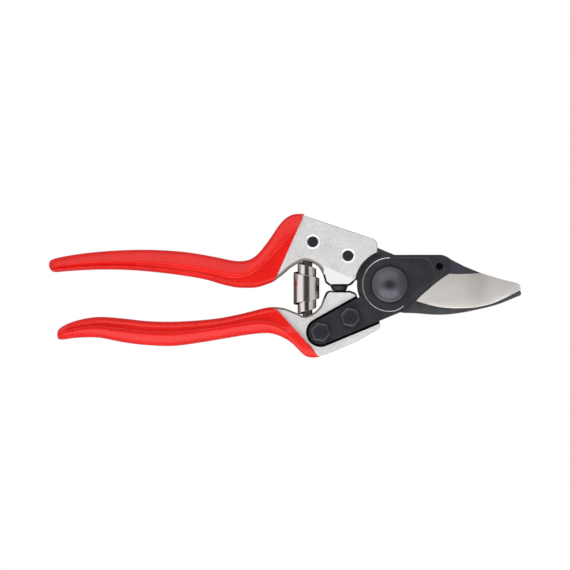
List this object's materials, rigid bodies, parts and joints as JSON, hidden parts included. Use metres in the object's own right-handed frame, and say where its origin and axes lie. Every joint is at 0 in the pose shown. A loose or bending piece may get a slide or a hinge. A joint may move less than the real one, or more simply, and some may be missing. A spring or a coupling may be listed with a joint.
{
  "type": "pruning shears",
  "caption": "One-hand bypass pruning shears with coated curved handles, a bevelled blade, a counter-blade, a volute spring and a thumb catch.",
  "frame": {"origin": "on the pivot bolt's axis, in the plane that the adjusting nut and both grips rest on", "axes": "+X along the tool towards the blade tip, +Z along the pivot axis towards the domed bolt head"},
  "size_m": [0.2099, 0.064, 0.0172],
  "materials": {
    "aluminium": "satin die-cast",
    "grip": "gloss vinyl coating",
    "counter_steel": "satin black",
    "blade_steel": "satin black with a ground bevel",
    "black_bolt": "gloss black",
    "rivet": "satin black",
    "rubber": "matt",
    "zinc": "bright zinc",
    "spring_steel": "polished",
    "catch": "gloss red"
  },
  "bodies": {
    "hook_side": {"hook_handle": "aluminium", "hook_handle_grip": "grip", "counter_blade": "counter_steel", "hook_rivet_front": "rivet", "hook_rivet_rear": "rivet", "bumper": "rubber", "pivot_bolt": "black_bolt", "friction_washer": "black_bolt", "nut_washer": "zinc", "adjusting_nut": "black_bolt", "locking_segment": "zinc", "segment_screw": "zinc", "catch_screw": "zinc", "catch_washer": "zinc", "return_spring": "spring_steel"},
    "blade_side": {"blade_handle": "aluminium", "blade_handle_grip": "grip", "cutting_blade": "blade_steel", "blade_bolt_front": "black_bolt", "blade_bolt_rear": "black_bolt", "blade_nut_front": "zinc", "blade_nut_rear": "zinc", "catch_stud": "zinc"},
    "catch": {"thumb_catch": "catch"}
  },
  "joints": [
    {"name": "handles_open", "type": "hinge", "parent": "hook_side", "child": "blade_side", "pos_m": [0, 0, 0.0115], "axis": [0, 0, 1], "range_deg": [0, 32], "stiffness_Nm_per_rad": 0.7, "springref_deg": 42.97, "deforming": ["return_spring"]},
    {"name": "catch_turn", "type": "hinge", "parent": "hook_side", "child": "catch", "pos_m": [-0.0256, 0.0044, 0.0022], "axis": [0, 0, 1], "range_deg": [-24, 0]}
  ]
}
